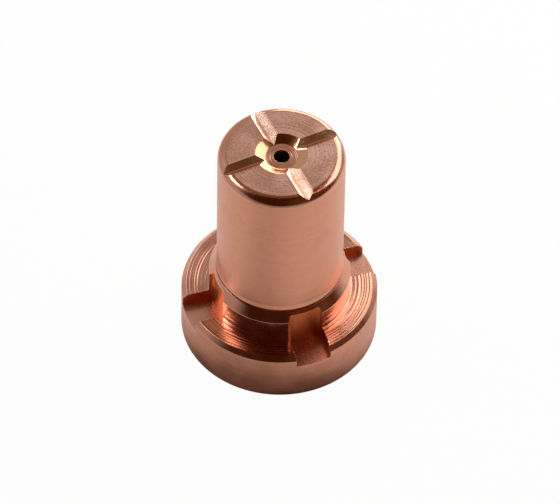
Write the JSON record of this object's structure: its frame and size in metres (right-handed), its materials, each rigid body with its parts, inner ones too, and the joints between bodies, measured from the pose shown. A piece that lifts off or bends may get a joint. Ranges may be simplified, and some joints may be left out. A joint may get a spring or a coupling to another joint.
{
  "type": "plasma torch nozzle",
  "caption": "Turned copper plasma torch nozzle: flanged base with offset gas slots, plain barrel, and a rounded nose whose face has crossed V grooves and a central orifice.",
  "frame": {"origin": "centre of the annular seat face under the flange, on the nozzle's axis", "axes": "+Z along the bore axis towards the nose and its orifice; +X and +Y in the seat face, with the gas slots and face grooves at stated angles from +X"},
  "size_m": [0.0154, 0.0154, 0.0204],
  "materials": {
    "copper": "turned and milled bare copper, satin"
  },
  "bodies": {
    "root": {"nozzle": "copper"}
  },
  "joints": []
}
